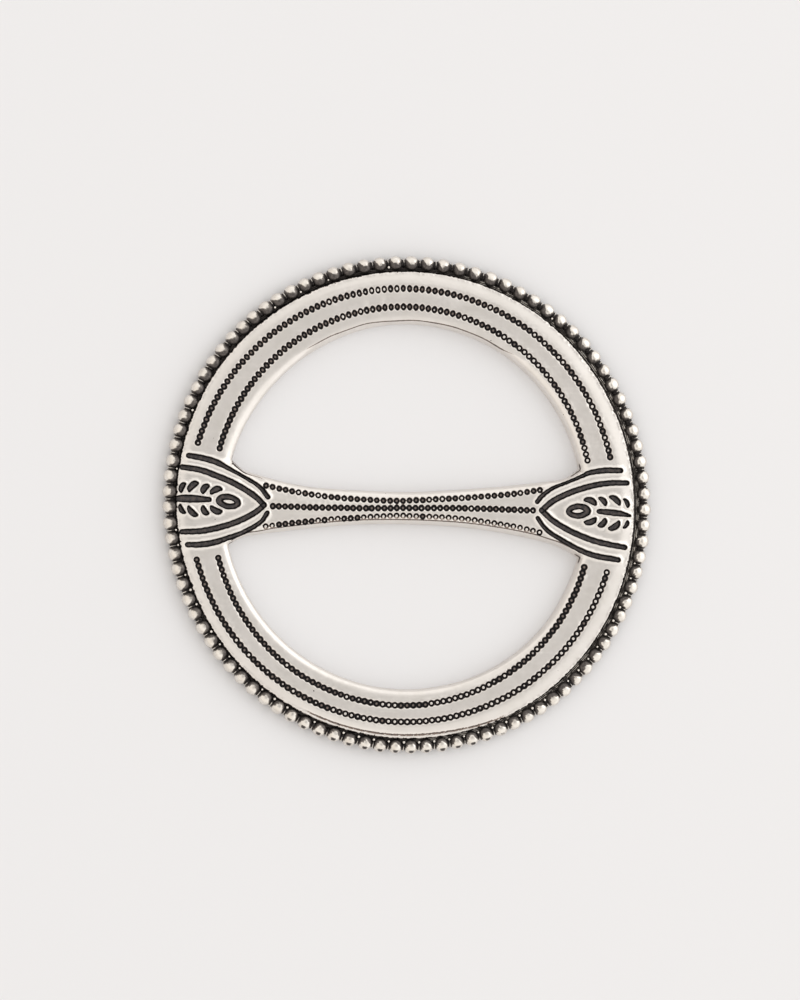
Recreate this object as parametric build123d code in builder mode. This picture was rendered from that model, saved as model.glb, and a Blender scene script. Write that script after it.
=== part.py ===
from build123d import *
from math import pi, sqrt
import os

os.makedirs("parts", exist_ok=True)

# A round scarf ring of cast silver: a flat ring with a waisted bar across it, and beaded wire
# soldered round its edge. Millimetres. The foot lies on z = 0 with the ring's centre on the Z
# axis, and the bar runs along X.

# Ring
ring_radius = 31.25
band_width = 7.1
thickness = 2.3
wall_lean = 0.7
shoulder_width = 1.6
shoulder_drop = 0.45
edge_rounding = 0.3
foot_chamfer = 0.2

# Bar
waist_width = 4.25
bar_offset = -0.43
bar_lean = 0.4
corner_rounding = 0.5

# Beaded wire
bead_diameter = 2.06
bead_gap = 0.06
bead_clearance = 0.12
bead_foot = 0.07
core_width = 1.1
core_height = 0.8
solder_overlap = 0.3

# Engraving. A middle's reach is a share of the arch's length, and its rise a share of the line's
# half width at the ring's edge.
groove_depth = 0.35
line_width = 0.7
arch_length = 12.45
arch_half_width = 4.3
arch_margin = 0.95
arch_middle_reach = 0.52
arch_middle_rise = 0.72
outer_arch_gap = 1.65
outer_arch_margin = 1.8
outer_arch_middle_reach = 0.57
outer_arch_middle_rise = 0.73
outer_arch_overshoot = 0.45
outer_arch_opening = 2.1
stem_length = 4.5
stem_width = 0.85
stem_margin = 0.35
leaf_length = 2.05
leaf_width = 0.85
bud_length = 3.4
bud_width = 1.95
bud_reach = 7.4
bud_island_length = 1.6
bud_island_width = 0.55

hole_radius = ring_radius - band_width
bead_circle_radius = ring_radius + bead_clearance + bead_diameter / 2
bead_height = bead_foot + bead_diameter / 2
bead_count = round(2 * pi * bead_circle_radius / (bead_diameter + bead_gap))

# The bar's two edges at the foot, from left to right. station is a share of the hole's radius.
# upper and lower are the distances from the bar's axis, as shares of half the waist. The first
# and last rows are the corners, which lie on the hole's circle wherever that puts them.
bar_sections = [
    # station, upper, lower
    (-1.00, 2.60, 2.46),
    (-0.91, 2.08, 2.13),
    (-0.83, 1.80, 1.92),
    (-0.66, 1.36, 1.63),
    (-0.41, 1.06, 1.23),
    (0.00, 1.00, 1.00),
    (0.41, 1.35, 1.16),
    (0.66, 1.68, 1.56),
    (0.83, 1.92, 1.96),
    (0.91, 2.13, 2.32),
    (1.00, 2.58, 2.67),
]

# The wall of each half-moon opening, from just under the foot to just over the top. height is
# a share of the thickness and lean a share of how far the wall leans back.
wall_sections = [
    # height, lean
    (-0.15, 0.25),
    (0.25, 0.00),
    (0.65, 0.25),
    (1.00, 1.00),
    (1.20, 1.55),
]

# The leaf strokes on one side of a stem, from the ring's edge inwards. reach is a share of the
# arch's length, rise a share of its half width, and size a share of the leaf's length.
leaf_strokes = [
    # reach, rise, size, slant in degrees
    (0.076, 0.37, 0.73, 62),
    (0.197, 0.41, 1.00, 40),
    (0.329, 0.35, 0.76, 48),
    (0.458, 0.34, 0.95, 22),
]


def half_moon(side, height, lean):
    """One level of an opening's outline. side is +1 above the bar and -1 below it."""
    arc_radius = hole_radius + lean * wall_lean
    bar_edge = []
    for station, upper, lower in bar_sections:
        share = upper if side > 0 else lower
        y = bar_offset + side * (share * waist_width / 2 - lean * bar_lean)
        x = station * hole_radius
        if abs(station) == 1:
            x = station * sqrt(arc_radius**2 - y**2)
        bar_edge.append((x, y))
    with BuildSketch(Plane.XY.offset(height * thickness)) as level:
        with BuildLine():
            Spline(*bar_edge)
            ThreePointArc(bar_edge[-1], (0, side * arc_radius), bar_edge[0])
        make_face()
        fillet(level.vertices(), corner_rounding)
    return level.sketch


# Ring and bar, cut from one round blank with a rounded outer shoulder.
with BuildPart() as ring_and_bar:
    with BuildSketch(Plane.XZ):
        with BuildLine() as half_section:
            shoulder_start = (ring_radius - shoulder_width, thickness)
            shoulder_end = (ring_radius, thickness - shoulder_drop)
            TangentArc(shoulder_start, shoulder_end, tangent=(1, 0))
            Polyline(
                shoulder_end,
                (ring_radius, foot_chamfer),
                (ring_radius - foot_chamfer, 0),
                (0, 0),
                (0, thickness),
                shoulder_start,
            )
        make_face()
        shoulder_corner = half_section.vertices().sort_by_distance(shoulder_end)[0]
        fillet(shoulder_corner, edge_rounding)
    revolve(axis=Axis.Z)
    for side in (1, -1):
        levels = [half_moon(side, height, lean) for height, lean in wall_sections]
        loft(levels, ruled=True, mode=Mode.SUBTRACT)

    # The same motif is engraved at both ends of the bar, pointing inwards.
    inner_start = (ring_radius - arch_margin, arch_half_width)
    inner_middle = (
        ring_radius - arch_middle_reach * arch_length,
        arch_middle_rise * arch_half_width,
    )
    arch_tip = (ring_radius - arch_length, 0)
    outer_half_width = arch_half_width + outer_arch_gap
    outer_start = (ring_radius - outer_arch_margin, outer_half_width)
    outer_middle = (
        ring_radius - outer_arch_middle_reach * arch_length,
        outer_arch_middle_rise * outer_half_width,
    )
    outer_end = (ring_radius - arch_length - outer_arch_overshoot, outer_arch_opening / 2)
    for turn in (0, 180):
        floor = Plane((0, bar_offset, thickness - groove_depth)).rotated((0, 0, turn))
        with BuildSketch(floor):
            with BuildLine() as arches:
                ThreePointArc(inner_start, inner_middle, arch_tip)
                ThreePointArc(outer_start, outer_middle, outer_end)
                mirror(about=Plane.XZ)
            trace(line_width=line_width)
            with Locations(*[tuple(end) for end in arches.vertices()]):
                Circle(line_width / 2)
            with Locations((ring_radius - stem_margin - stem_length / 2, 0)):
                SlotOverall(stem_length, stem_width)
            for side in (1, -1):
                for reach, rise, size, slant in leaf_strokes:
                    place = (ring_radius - reach * arch_length, side * rise * arch_half_width)
                    with Locations(place):
                        Ellipse(size * leaf_length / 2, leaf_width / 2, rotation=-side * slant)
            with Locations((ring_radius - bud_reach, 0)):
                Ellipse(bud_length / 2, bud_width / 2)
                Ellipse(bud_island_length / 2, bud_island_width / 2, mode=Mode.SUBTRACT)
        extrude(amount=2 * groove_depth, mode=Mode.SUBTRACT)

# Beaded wire: round beads on a flat-sided core, with the solder reaching in under the shoulder.
with BuildPart() as beaded_wire:
    with BuildSketch(Plane.XY.offset(bead_height - core_height / 2)):
        RegularPolygon(bead_circle_radius + core_width / 2, bead_count)
        Circle(ring_radius - solder_overlap, mode=Mode.SUBTRACT)
    extrude(amount=core_height)
    with Locations((0, 0, bead_height)):
        with PolarLocations(bead_circle_radius, bead_count):
            Sphere(bead_diameter / 2)

# Soldered together, they are one piece of metal.
with BuildPart() as scarf_ring:
    add(ring_and_bar.part)
    add(beaded_wire.part)

scarf_ring.part.label = "scarf_ring"
export_step(scarf_ring.part, "parts/scarf_ring.step")
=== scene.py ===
import math

import bpy
import numpy as np
from mathutils import Matrix, Vector, kdtree, noise
from mathutils.geometry import delaunay_2d_cdt


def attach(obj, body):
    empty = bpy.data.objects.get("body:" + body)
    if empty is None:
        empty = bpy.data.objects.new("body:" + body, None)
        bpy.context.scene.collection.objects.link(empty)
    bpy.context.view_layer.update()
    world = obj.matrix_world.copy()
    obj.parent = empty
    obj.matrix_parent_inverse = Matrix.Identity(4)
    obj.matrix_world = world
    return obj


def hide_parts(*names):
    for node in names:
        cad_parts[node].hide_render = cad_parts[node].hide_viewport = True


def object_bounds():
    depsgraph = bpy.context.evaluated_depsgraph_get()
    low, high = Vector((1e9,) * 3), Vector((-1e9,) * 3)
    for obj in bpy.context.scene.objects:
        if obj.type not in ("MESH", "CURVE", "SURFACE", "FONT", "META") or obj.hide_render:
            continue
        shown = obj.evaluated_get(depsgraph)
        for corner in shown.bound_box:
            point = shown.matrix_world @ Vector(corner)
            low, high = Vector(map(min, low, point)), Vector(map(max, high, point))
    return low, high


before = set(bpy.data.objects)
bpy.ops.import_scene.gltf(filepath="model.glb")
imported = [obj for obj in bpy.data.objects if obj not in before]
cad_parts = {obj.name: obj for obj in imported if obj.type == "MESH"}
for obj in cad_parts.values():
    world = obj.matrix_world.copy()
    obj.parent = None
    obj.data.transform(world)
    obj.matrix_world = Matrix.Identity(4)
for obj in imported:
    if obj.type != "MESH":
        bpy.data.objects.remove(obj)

# A scarf ring of cast silver: an engraved plate with a bar across it, and a wire of round beads
# soldered round its edge. Lengths are in millimetres until a mesh is made, and angles in degrees,
# counted from the bar's right end.
mm = 0.001
cadLow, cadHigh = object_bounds()
plateTop = cadHigh.z / mm      # 2.3
seed = np.random.default_rng(7)


# Small helpers

def hexToLinear(code):
    code = code.lstrip("#")
    parts = [int(code[i:i + 2], 16) / 255 for i in (0, 2, 4)]
    return tuple(c / 12.92 if c <= 0.04045 else ((c + 0.055) / 1.055) ** 2.4 for c in parts) + (1,)


def smoothStep(low, high, value):
    share = np.clip((np.asarray(value, float) - low) / (high - low), 0, 1)
    return share * share * (3 - 2 * share)


def fade(low, high, value):
    return 1 - smoothStep(low, high, value)


def angleWindow(angle, middle, halfWidth, soft):
    # 1 inside the window round the middle angle, easing to 0 over soft degrees
    away = np.abs((np.asarray(angle, float) - middle + 180) % 360 - 180)
    return fade(halfWidth, halfWidth + soft, away)


def windowSum(table, angle):
    # Rows are a window's middle, half width and softness, and how much it adds
    return sum(much * angleWindow(angle, *window) for *window, much in table)


def smoothLine(points, step, closed=False):
    # Catmull-Rom through the points. Every column is blended the same way, widths too.
    points = np.array(points, float)
    if closed:
        held = np.vstack([points[-1], points, points[0], points[1]])
    else:
        held = np.vstack([2 * points[0] - points[1], points, 2 * points[-1] - points[-2]])
    rows = []
    for a, b, c, d in zip(held, held[1:], held[2:], held[3:]):
        count = max(2, int(math.ceil(np.hypot(*(c - b)[:2]) / step)))
        t = (np.arange(count) / count)[:, None]
        rows.append(0.5 * (2 * b + (c - a) * t + (2 * a - 5 * b + 4 * c - d) * t ** 2
                           + (3 * b - a - 3 * c + d) * t ** 3))
    if not closed:
        rows.append(points[-1:])
    return np.vstack(rows)


def lineNormals(line, closed=False):
    xy = line[:, :2]
    if closed:
        along = np.roll(xy, -1, 0) - np.roll(xy, 1, 0)
    else:
        along = np.gradient(xy, axis=0)
    along /= np.maximum(np.hypot(along[:, 0], along[:, 1]), 1e-9)[:, None]
    return np.column_stack([-along[:, 1], along[:, 0]])


def distanceToLine(xy, line, closed=False):
    # Distance to the nearest segment, and the line's third column there, when it has one
    ends = np.vstack([line, line[:1]]) if closed else line
    a, b = ends[:-1], ends[1:]
    run = b[:, :2] - a[:, :2]
    length = np.maximum((run ** 2).sum(1), 1e-12)
    width = ends[:, 2] if ends.shape[1] > 2 else np.zeros(len(ends))
    best, bestWidth = np.empty(len(xy)), np.empty(len(xy))
    chunk = 3000    # points at a time, to spare memory
    for start in range(0, len(xy), chunk):
        part = xy[start:start + chunk, None]
        t = np.clip(((part - a[None, :, :2]) * run).sum(2) / length, 0, 1)
        off = part - a[None, :, :2] - t[..., None] * run
        away = np.hypot(off[..., 0], off[..., 1])
        half = width[:-1] + t * (width[1:] - width[:-1])
        pick = (away - half).argmin(1)
        rows = np.arange(len(pick))
        best[start:start + chunk] = away[rows, pick]
        bestWidth[start:start + chunk] = half[rows, pick]
    return best, bestWidth


def gapToLoop(xy, loop):
    # Distance to a closed outline that runs anticlockwise, and negative inside it
    tree = kdtree.KDTree(len(loop))
    for i, point in enumerate(loop):
        tree.insert((*point, 0), i)
    tree.balance()
    nearest = np.array([tree.find((*point, 0))[1] for point in xy])
    best, sign = np.full(len(xy), np.inf), np.ones(len(xy))
    for first in (nearest - 1, nearest):
        a, b = loop[first % len(loop)], loop[(first + 1) % len(loop)]
        run, off = b - a, xy - a
        t = np.clip((off * run).sum(1) / (run ** 2).sum(1), 0, 1)
        away = np.hypot(*(off - t[:, None] * run).T)
        closer = away < best
        best[closer] = away[closer]
        outside = np.where(run[:, 0] * off[:, 1] - run[:, 1] * off[:, 0] > 0, -1.0, 1.0)
        sign[closer] = outside[closer]
    return best * sign


def noiseAt(points, period, offset=0.0):
    shift = Vector((offset, 1.7 * offset, 0))
    return np.array([noise.noise(Vector(p).to_3d() / period + shift) for p in points])


def unitCircle(turn):
    return np.column_stack([np.cos(turn), np.sin(turn)])


def makeMesh(name, vertices, faces, oxideAndPaintedLight, material):
    mesh = bpy.data.meshes.new(name)
    mesh.from_pydata([tuple(v) for v in np.asarray(vertices) * mm], [], faces)
    mesh.polygons.foreach_set("use_smooth", [True] * len(mesh.polygons))
    layer = mesh.attributes.new("oxideAndPaintedLight", "FLOAT", "POINT")
    layer.data.foreach_set("value", np.asarray(oxideAndPaintedLight, np.float32))
    mesh.validate()
    mesh.update()
    piece = bpy.data.objects.new(name, mesh)
    bpy.context.scene.collection.objects.link(piece)
    piece.data.materials.append(material)
    triangles = sum(len(p.vertices) - 2 for p in mesh.polygons)
    print(name, len(mesh.vertices), "points", triangles, "triangles")
    return piece


# Materials

def addNode(tree, kind, settings=None, links=None, output=None):
    # One node with its settings and links. A setting is a socket's name or number, or a property's
    # name. A link gives the socket that feeds an input. It gives back the node, or the output asked
    # for.
    node = tree.nodes.new("ShaderNode" + kind)
    for key, value in (settings or {}).items():
        if isinstance(key, int) or key in node.inputs:
            node.inputs[key].default_value = value
        else:
            setattr(node, key, value)
    for key, source in (links or {}).items():
        tree.links.new(source, node.inputs[key])
    return node if output is None else node.outputs[output]


def silverMaterial(name, look):
    # Cast silver, tumbled to a satin skin, then blackened with liver of sulphur and rubbed bright
    # on top: pale warm metal where a thumb reaches, and nearly black in every recess. The mark on
    # the mesh says how deep in a recess each point is, and it also carries painted light: painted
    # shade, painted dark reflections and painted highlights, which darken or lighten the metal.
    material = bpy.data.materials.new(name)
    material.use_nodes = True
    tree = material.node_tree
    tree.nodes.clear()
    place = addNode(tree, "TexCoord", output="Object")
    recessAndPaintedLight = addNode(tree, "Attribute", {"attribute_name": "oxideAndPaintedLight"}, output="Fac")

    # Patterns, each from its period in mm: a scale of 1 is a period of a metre
    grain = {}
    for part, detail, rough in (("cloud", 3, 0.5), ("skin", 4, 0.6), ("ragged", 3, 0.7), ("speck", 1, 0.5)):
        grain[part] = addNode(tree, "TexNoise",
                              {"Scale": 1 / (look[part + "Period"] * mm), "Detail": detail,
                               "Roughness": rough}, {"Vector": place}, "Fac")
    # The hairlines are noise that is stretched along one way
    long, narrow, deep = look["scratchSize"]
    stretch = addNode(tree, "Mapping",
                      {"Scale": (1 / (long * mm), 1 / (narrow * mm), 1 / (deep * mm)),
                       "Rotation": (0, 0, math.radians(look["scratchTurn"]))}, {"Vector": place}, "Vector")
    grain["scratch"] = addNode(tree, "TexNoise", {"Scale": 1.0, "Detail": 1.0},
                               {"Vector": stretch}, "Fac")

    # What each pattern is turned into: the pattern's low and high value, and what they give
    share = {}
    rough, spread, reach = look["roughness"], look["roughnessSpread"], look["raggedReach"]
    for part, source, low, high, atLow, atHigh in (
        ("cloud", "cloud", 0.3, 0.7, 0, 1),
        ("speck", "speck", look["speckFrom"], look["speckFrom"] + 0.04, 0, 1),
        ("ragged", "ragged", 0.2, 0.8, -reach, reach),
        ("satin", "skin", 0.25, 0.75, rough - spread, rough + spread),
        ("scratch", "scratch", 0.66, 0.72, 0, -look["scratchDepth"] * mm),
    ):
        share[part] = addNode(tree, "MapRange",
                              {"From Min": low, "From Max": high, "To Min": atLow, "To Max": atHigh},
                              {"Value": grain[source]}, "Result")

    # How dark each point is: the recess and the painted shade in the mark, with a ragged edge, and a few
    # specks on the open metal
    edge = addNode(tree, "Math", {"operation": "ADD"}, {0: recessAndPaintedLight, 1: share["ragged"]}, 0)
    dark = addNode(tree, "Math", {"operation": "MAXIMUM"}, {0: edge, 1: share["speck"]}, 0)
    black = addNode(tree, "MapRange", {"From Min": look["oxideFrom"], "From Max": look["oxideFull"]},
                    {"Value": dark}, "Result")
    depth = addNode(tree, "ValToRGB", {}, {"Fac": dark})
    stops = depth.color_ramp.elements
    while len(stops) < len(look["oxideAndShadeSteps"]):
        stops.new(1.0)
    for stop, (at, code) in zip(stops, look["oxideAndShadeSteps"]):
        stop.position = at
        stop.color = hexToLinear(code)
    silver = addNode(tree, "Mix",
                     {"data_type": "RGBA", 6: hexToLinear(look["silverDull"]),
                      7: hexToLinear(look["silverBright"])}, {0: share["cloud"]}, 2)
    colour = addNode(tree, "Mix", {"data_type": "RGBA"},
                     {0: black, 6: silver, 7: depth.outputs["Color"]}, 2)
    metallic = addNode(tree, "MapRange", {"To Min": 1.0, "To Max": look["oxideMetallic"]},
                       {"Value": black}, "Result")
    gloss = addNode(tree, "Mix", {"data_type": "FLOAT", 3: look["oxideRoughness"]},
                    {0: black, 2: share["satin"]}, 0)
    height = addNode(tree, "Math", {"operation": "MULTIPLY_ADD", 1: look["skinHeight"] * mm},
                     {0: grain["skin"], 2: share["scratch"]}, 0)
    bump = addNode(tree, "Bump", {"Strength": 1.0, "Distance": 1.0}, {"Height": height}, "Normal")
    shader = addNode(tree, "BsdfPrincipled", {"Specular IOR Level": 0.2},   # the oxide is matt
                     {"Base Color": colour, "Metallic": metallic, "Roughness": gloss, "Normal": bump},
                     "BSDF")
    addNode(tree, "OutputMaterial", {}, {"Surface": shader})
    return material


plateLook = {
    "silverBright": "#EBE6E1", "silverDull": "#E5E0DA",
    # mm: the cloth's clouds, the tumbled skin, and the ragged edge of the oxide. The real skin is
    # finer than a tenth of a millimetre, and is drawn coarser here so that it shows.
    "cloudPeriod": 1.6, "skinPeriod": 0.35, "raggedPeriod": 0.35,
    "raggedReach": 0.1,
    "speckPeriod": 0.5, "speckFrom": 0.80,
    # how deep in a recess the oxide starts and where it is full, and its colours from there on; these
    # colours also paint the shade and dark reflections that the mark carries
    "oxideFrom": 0.35, "oxideFull": 0.55,
    "oxideAndShadeSteps": [(0.46, "#7A6252"), (0.6, "#7C6F67"), (0.75, "#474445"), (0.9, "#0C0A0B")],
    "oxideMetallic": 0.3, "oxideRoughness": 0.5,
    "roughness": 0.36, "roughnessSpread": 0.04,
    "skinHeight": 0.004,
    # hairlines from wear, in mm and degrees, also drawn wider than real ones
    "scratchSize": (9, 0.12, 2), "scratchDepth": 0.003, "scratchTurn": 24,
}
beadLook = dict(plateLook, **{
    "silverBright": "#EEE9E2", "silverDull": "#DDD6CD",
    "cloudPeriod": 0.8, "raggedPeriod": 0.24, "raggedReach": 0.2,
    "oxideFrom": 0.25, "oxideFull": 0.5,
    "oxideAndShadeSteps": [(0.3, "#A39D96"), (0.5, "#7E7872"), (0.75, "#575250"), (1.0, "#312E2E")],
    "oxideMetallic": 0.85, "oxideRoughness": 0.34,
    "roughness": 0.3, "roughnessSpread": 0.06,
})
plateSilver = silverMaterial("castSilverSatinRubbed", plateLook)
beadSilver = silverMaterial("drawnSilverBeadsBurnished", beadLook)
print("materials ready")


# Plate: its outline, seen from above

plate = {
    "edgeRadius": 31.25, "edgeHeight": 1.85,    # the height at the edge, under the bevel
    # the blank isn't quite round: angle, and how far its edge lies beyond the radius
    "edgeDrift": [(0, -.03), (30, 0), (55, .1), (85, 0), (120, -.08), (155, 0), (182, -.03),
                  (200, -.12), (225, .03), (260, .05), (285, .16), (305, .3), (322, .24), (340, .12)],
    "edgeRounding": 0.28, "edgeDrop": 0.18,
    "bevelStart": 29.4, "bevelShift": 0.35,     # it starts further out at the left end
    "bevelBend": 0.9,
    "bevelTilt": (12.0, 8.5),                   # degrees, and on the right, where the file leaned less
    "bevelMild": (18, 35, 45),                  # window where it leaned less
    "holeRadius": 24.25,
    "holeDrift": [(12, .2), (58, .2), (73, .12), (88, .05), (98, 0), (108, -.15), (118, -.28),
                  (138, -.33), (148, -.25), (158, -.1), (168, 0), (192, .4), (242, .42), (262, .5),
                  (282, .55), (292, .65), (302, .75), (322, .78), (332, .62), (346, .58)],
    "outlineStep": 0.12,
    "cornerSoftness": 0.12, "cornerReach": 0.6,
    "crownWave": 0.012, "crownPeriod": 7.0,
    "footChamfer": 0.15,
    "footDark": 0.1, "footShade": [(318, 22, 12, .35)],    # painted shade at the foot and on the back, and a window where an opening's foot gets deeper painted shade
}
# Half-moon openings: the bar's edge from left to right, x and y
barEdges = {
    1: [(-23.65, 5.3), (-22, 4.0), (-20, 3.4), (-16, 2.45), (-12, 1.9), (-6, 1.68), (0, 1.65), (5, 1.95),
        (12, 2.6), (16, 3.1), (20, 3.65), (22, 4.1), (23.86, 5.35)],
    -1: [(-23.92, -5.97), (-22, -4.9), (-20, -4.45), (-16, -3.85), (-12, -3.3), (-8, -2.85), (-4, -2.6),
         (0, -2.5), (4, -2.53), (8, -2.7), (12, -3.1), (16, -3.7), (20, -4.55), (22, -5.3), (24.0, -6.42)],
}


def driftAt(table, angle):
    places = np.array(table)
    return np.interp(np.asarray(angle) % 360, places[:, 0], places[:, 1], period=360)


def openingOutline(side):
    step = plate["outlineStep"]
    bar = smoothLine(barEdges[side], step)
    right, left = bar[-1], bar[0]
    start = math.atan2(right[1], right[0])
    end = math.atan2(left[1], left[0])
    turn = (end - start) % math.tau if side > 0 else -((start - end) % math.tau)
    count = int(abs(turn) * plate["holeRadius"] / step)
    angles = start + turn * np.arange(1, count) / count
    arcRadius = plate["holeRadius"] + driftAt(plate["holeDrift"], np.degrees(angles))
    loop = np.vstack([bar, arcRadius[:, None] * unitCircle(angles)])
    # The file has rounded the corners
    reach = 12      # points each way that are averaged
    spread = np.exp(-0.5 * (np.arange(-reach, reach + 1) * step / plate["cornerSoftness"]) ** 2)
    spread /= spread.sum()
    soft = sum(w * np.roll(loop, k - reach, 0) for k, w in enumerate(spread))
    near = np.min([np.hypot(*(loop - corner).T) for corner in (left, right)], axis=0)
    blend = np.exp(-(near / plate["cornerReach"]) ** 2)[:, None]
    loop = loop * (1 - blend) + soft * blend
    return loop[::side]     # anticlockwise


openings = [openingOutline(1), openingOutline(-1)]
edgeAngles = np.arange(0, 360, 0.25)
edgeRadii = plate["edgeRadius"] + driftAt(plate["edgeDrift"], edgeAngles)
edgeLoop = edgeRadii[:, None] * unitCircle(np.radians(edgeAngles))


# Engraving. Rows are x, y and width of the cut, as the graver went.

graver = {
    "depth": 0.34, "wall": 0.14, "leafDepth": 0.3,
    "widen": 0.045, "unsteady": 0.012, "reach": 0.4, "step": 0.16, "fineStep": 0.12,
    "ragged": 0.03, "raggedPeriod": 0.45,
    "lip": 0.08, "lipWidth": 0.11, "lipPlace": 0.06,        # the burr beside a cut
    "stemHeight": -0.3,                                     # y, between the leaves above and below
}
leftArches = {
    "outerUpper": [(-29.7, 5.7, .68), (-28, 5.45, .74), (-26, 4.95, .76), (-24.2, 4.1, .54),
                   (-22, 3.0, .44), (-20, 1.8, .54), (-18.85, 0.45, .62)],
    "innerUpper": [(-30.5, 4.15, .68), (-28, 3.8, .74), (-26, 3.15, .76), (-24, 2.4, .76), (-22, 1.4, .76),
                   (-20.4, 0.35, .76), (-19.35, -0.65, .72)],
    "innerLower": [(-19.35, -0.65, .72), (-20.4, -1.55, .74), (-22, -2.5, .76), (-24, -3.35, .76),
                   (-26, -3.95, .76), (-28, -4.35, .74), (-30.4, -4.5, .66)],
    "outerLower": [(-18.9, -1.65, .58), (-19.8, -2.95, .56), (-22, -4.3, .6), (-24, -5.1, .64),
                   (-26, -5.8, .76), (-28, -6.15, .74), (-29.6, -6.2, .64)],
    "stem": [(-31.1, -0.1, .7), (-30.4, -0.05, .95), (-29, -0.05, .98), (-27.8, -0.08, .8),
             (-26.8, -0.1, .62)],
}
rightArches = {
    "outerUpper": [(29.2, 5.35, .68), (27, 5.3, .72), (25, 4.95, .62), (23.9, 4.45, .48), (22, 3.6, .4),
                   (20, 2.75, .46), (18.6, 1.75, .58), (17.85, 0.85, .6)],
    "innerUpper": [(30.1, 3.7, .64), (28, 3.65, .7), (26, 3.35, .72), (24, 2.8, .74), (22, 2.05, .76),
                   (20, 1.0, .76), (18.5, -0.3, .74)],
    "innerLower": [(18.5, -0.3, .74), (20, -1.6, .72), (22, -2.75, .74), (24, -3.6, .74), (26, -4.25, .74),
                   (28, -4.65, .72), (30, -4.95, .64)],
    "outerLower": [(17.95, -1.35, .56), (18.9, -2.6, .54), (20, -3.45, .56), (22, -4.55, .58),
                   (24, -5.55, .64), (26, -6.2, .72), (28, -6.5, .7), (29.1, -6.65, .64)],
    "stem": [(26.3, -0.22, .58), (27.5, -0.28, .76), (29.2, -0.42, .74), (30.6, -0.68, .34)],
}
# Leaf strokes: middle x and y, length, width, and the way the stroke points, in degrees
leafStrokes = [
    (-30.5, 1.45, 1.6, .72, 65), (-29.1, 1.65, 2.0, .88, 42), (-27.45, 1.35, 1.55, .86, 52),
    (-25.95, 1.2, 1.9, .84, 22), (-30.5, -1.5, 1.6, .66, -58), (-29.1, -1.8, 2.1, .76, -42),
    (-27.4, -1.6, 1.5, .78, -52), (-25.9, -1.5, 2.0, .84, -22),
    (25.15, 1.15, 2.0, .84, -22), (26.85, 1.2, 1.6, .72, -47), (28.55, 1.4, 2.1, .78, -38),
    (30.1, 1.05, 1.5, .58, -62), (25.2, -1.6, 2.0, .82, 22), (26.85, -1.8, 1.6, .8, 47),
    (28.5, -2.15, 2.1, .82, 36), (30.1, -1.9, 1.4, .54, 60),
]
# Buds: one cut that goes round a bright island. Rows are along, across and width.
budCut = [(1.25, 0, .9), (0.9, 0.42, .8), (0.05, 0.64, .74), (-0.85, 0.46, .72), (-1.32, 0, .76),
          (-0.85, -0.46, .72), (0.05, -0.64, .74), (0.9, -0.42, .8)]
buds = [(-24.2, -0.3, 172), (23.5, -0.25, 4)]   # x, y and the way the point looks


def placeCut(rows, x, y, turn):
    rows = np.array(rows, float)
    c, s = math.cos(math.radians(turn)), math.sin(math.radians(turn))
    return np.column_stack([x + rows[:, 0] * c - rows[:, 1] * s,
                            y + rows[:, 0] * s + rows[:, 1] * c, rows[:, 2]])


def leafCut(x, y, length, width, turn):
    # A half-moon stroke: straight on the stem's side, and full on the other
    straight = 0.42     # where the straight side lies, as a share of the width
    profile = [(-0.38, .42), (-0.24, .8), (-0.03, 1.0), (0.2, .92), (0.36, .5)]
    bulge = math.copysign(1, y - graver["stemHeight"])
    rows = [(at * length, bulge * (0.5 * share - straight) * width, share * width) for at, share in profile]
    return placeCut(rows, x, y, turn)


cuts = []   # centreline with half widths, whether it closes, and its depth
for arches in (leftArches, rightArches):
    for rows in arches.values():
        cuts.append((smoothLine(rows, graver["step"]), False, graver["depth"]))
for row in leafStrokes:
    cuts.append((smoothLine(leafCut(*row), graver["fineStep"]), False, graver["leafDepth"]))
for x, y, turn in buds:
    line = smoothLine(placeCut(budCut, x, y, turn), graver["fineStep"], True)
    cuts.append((line, True, graver["depth"]))
for line, closed, depth in cuts:
    sway = np.sin(7 * line[:, 0] + 5 * line[:, 1])      # the hand's unsteadiness
    line[:, 2] *= 0.5
    line[:, 2] += graver["widen"] + graver["unsteady"] * sway


# Punched rows. The ring punch leaves a small dark ring. Its middle is worn bright (b), half bright
# (h) or still dark (d), or the punch leaned and left only the upper arc (u).

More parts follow.
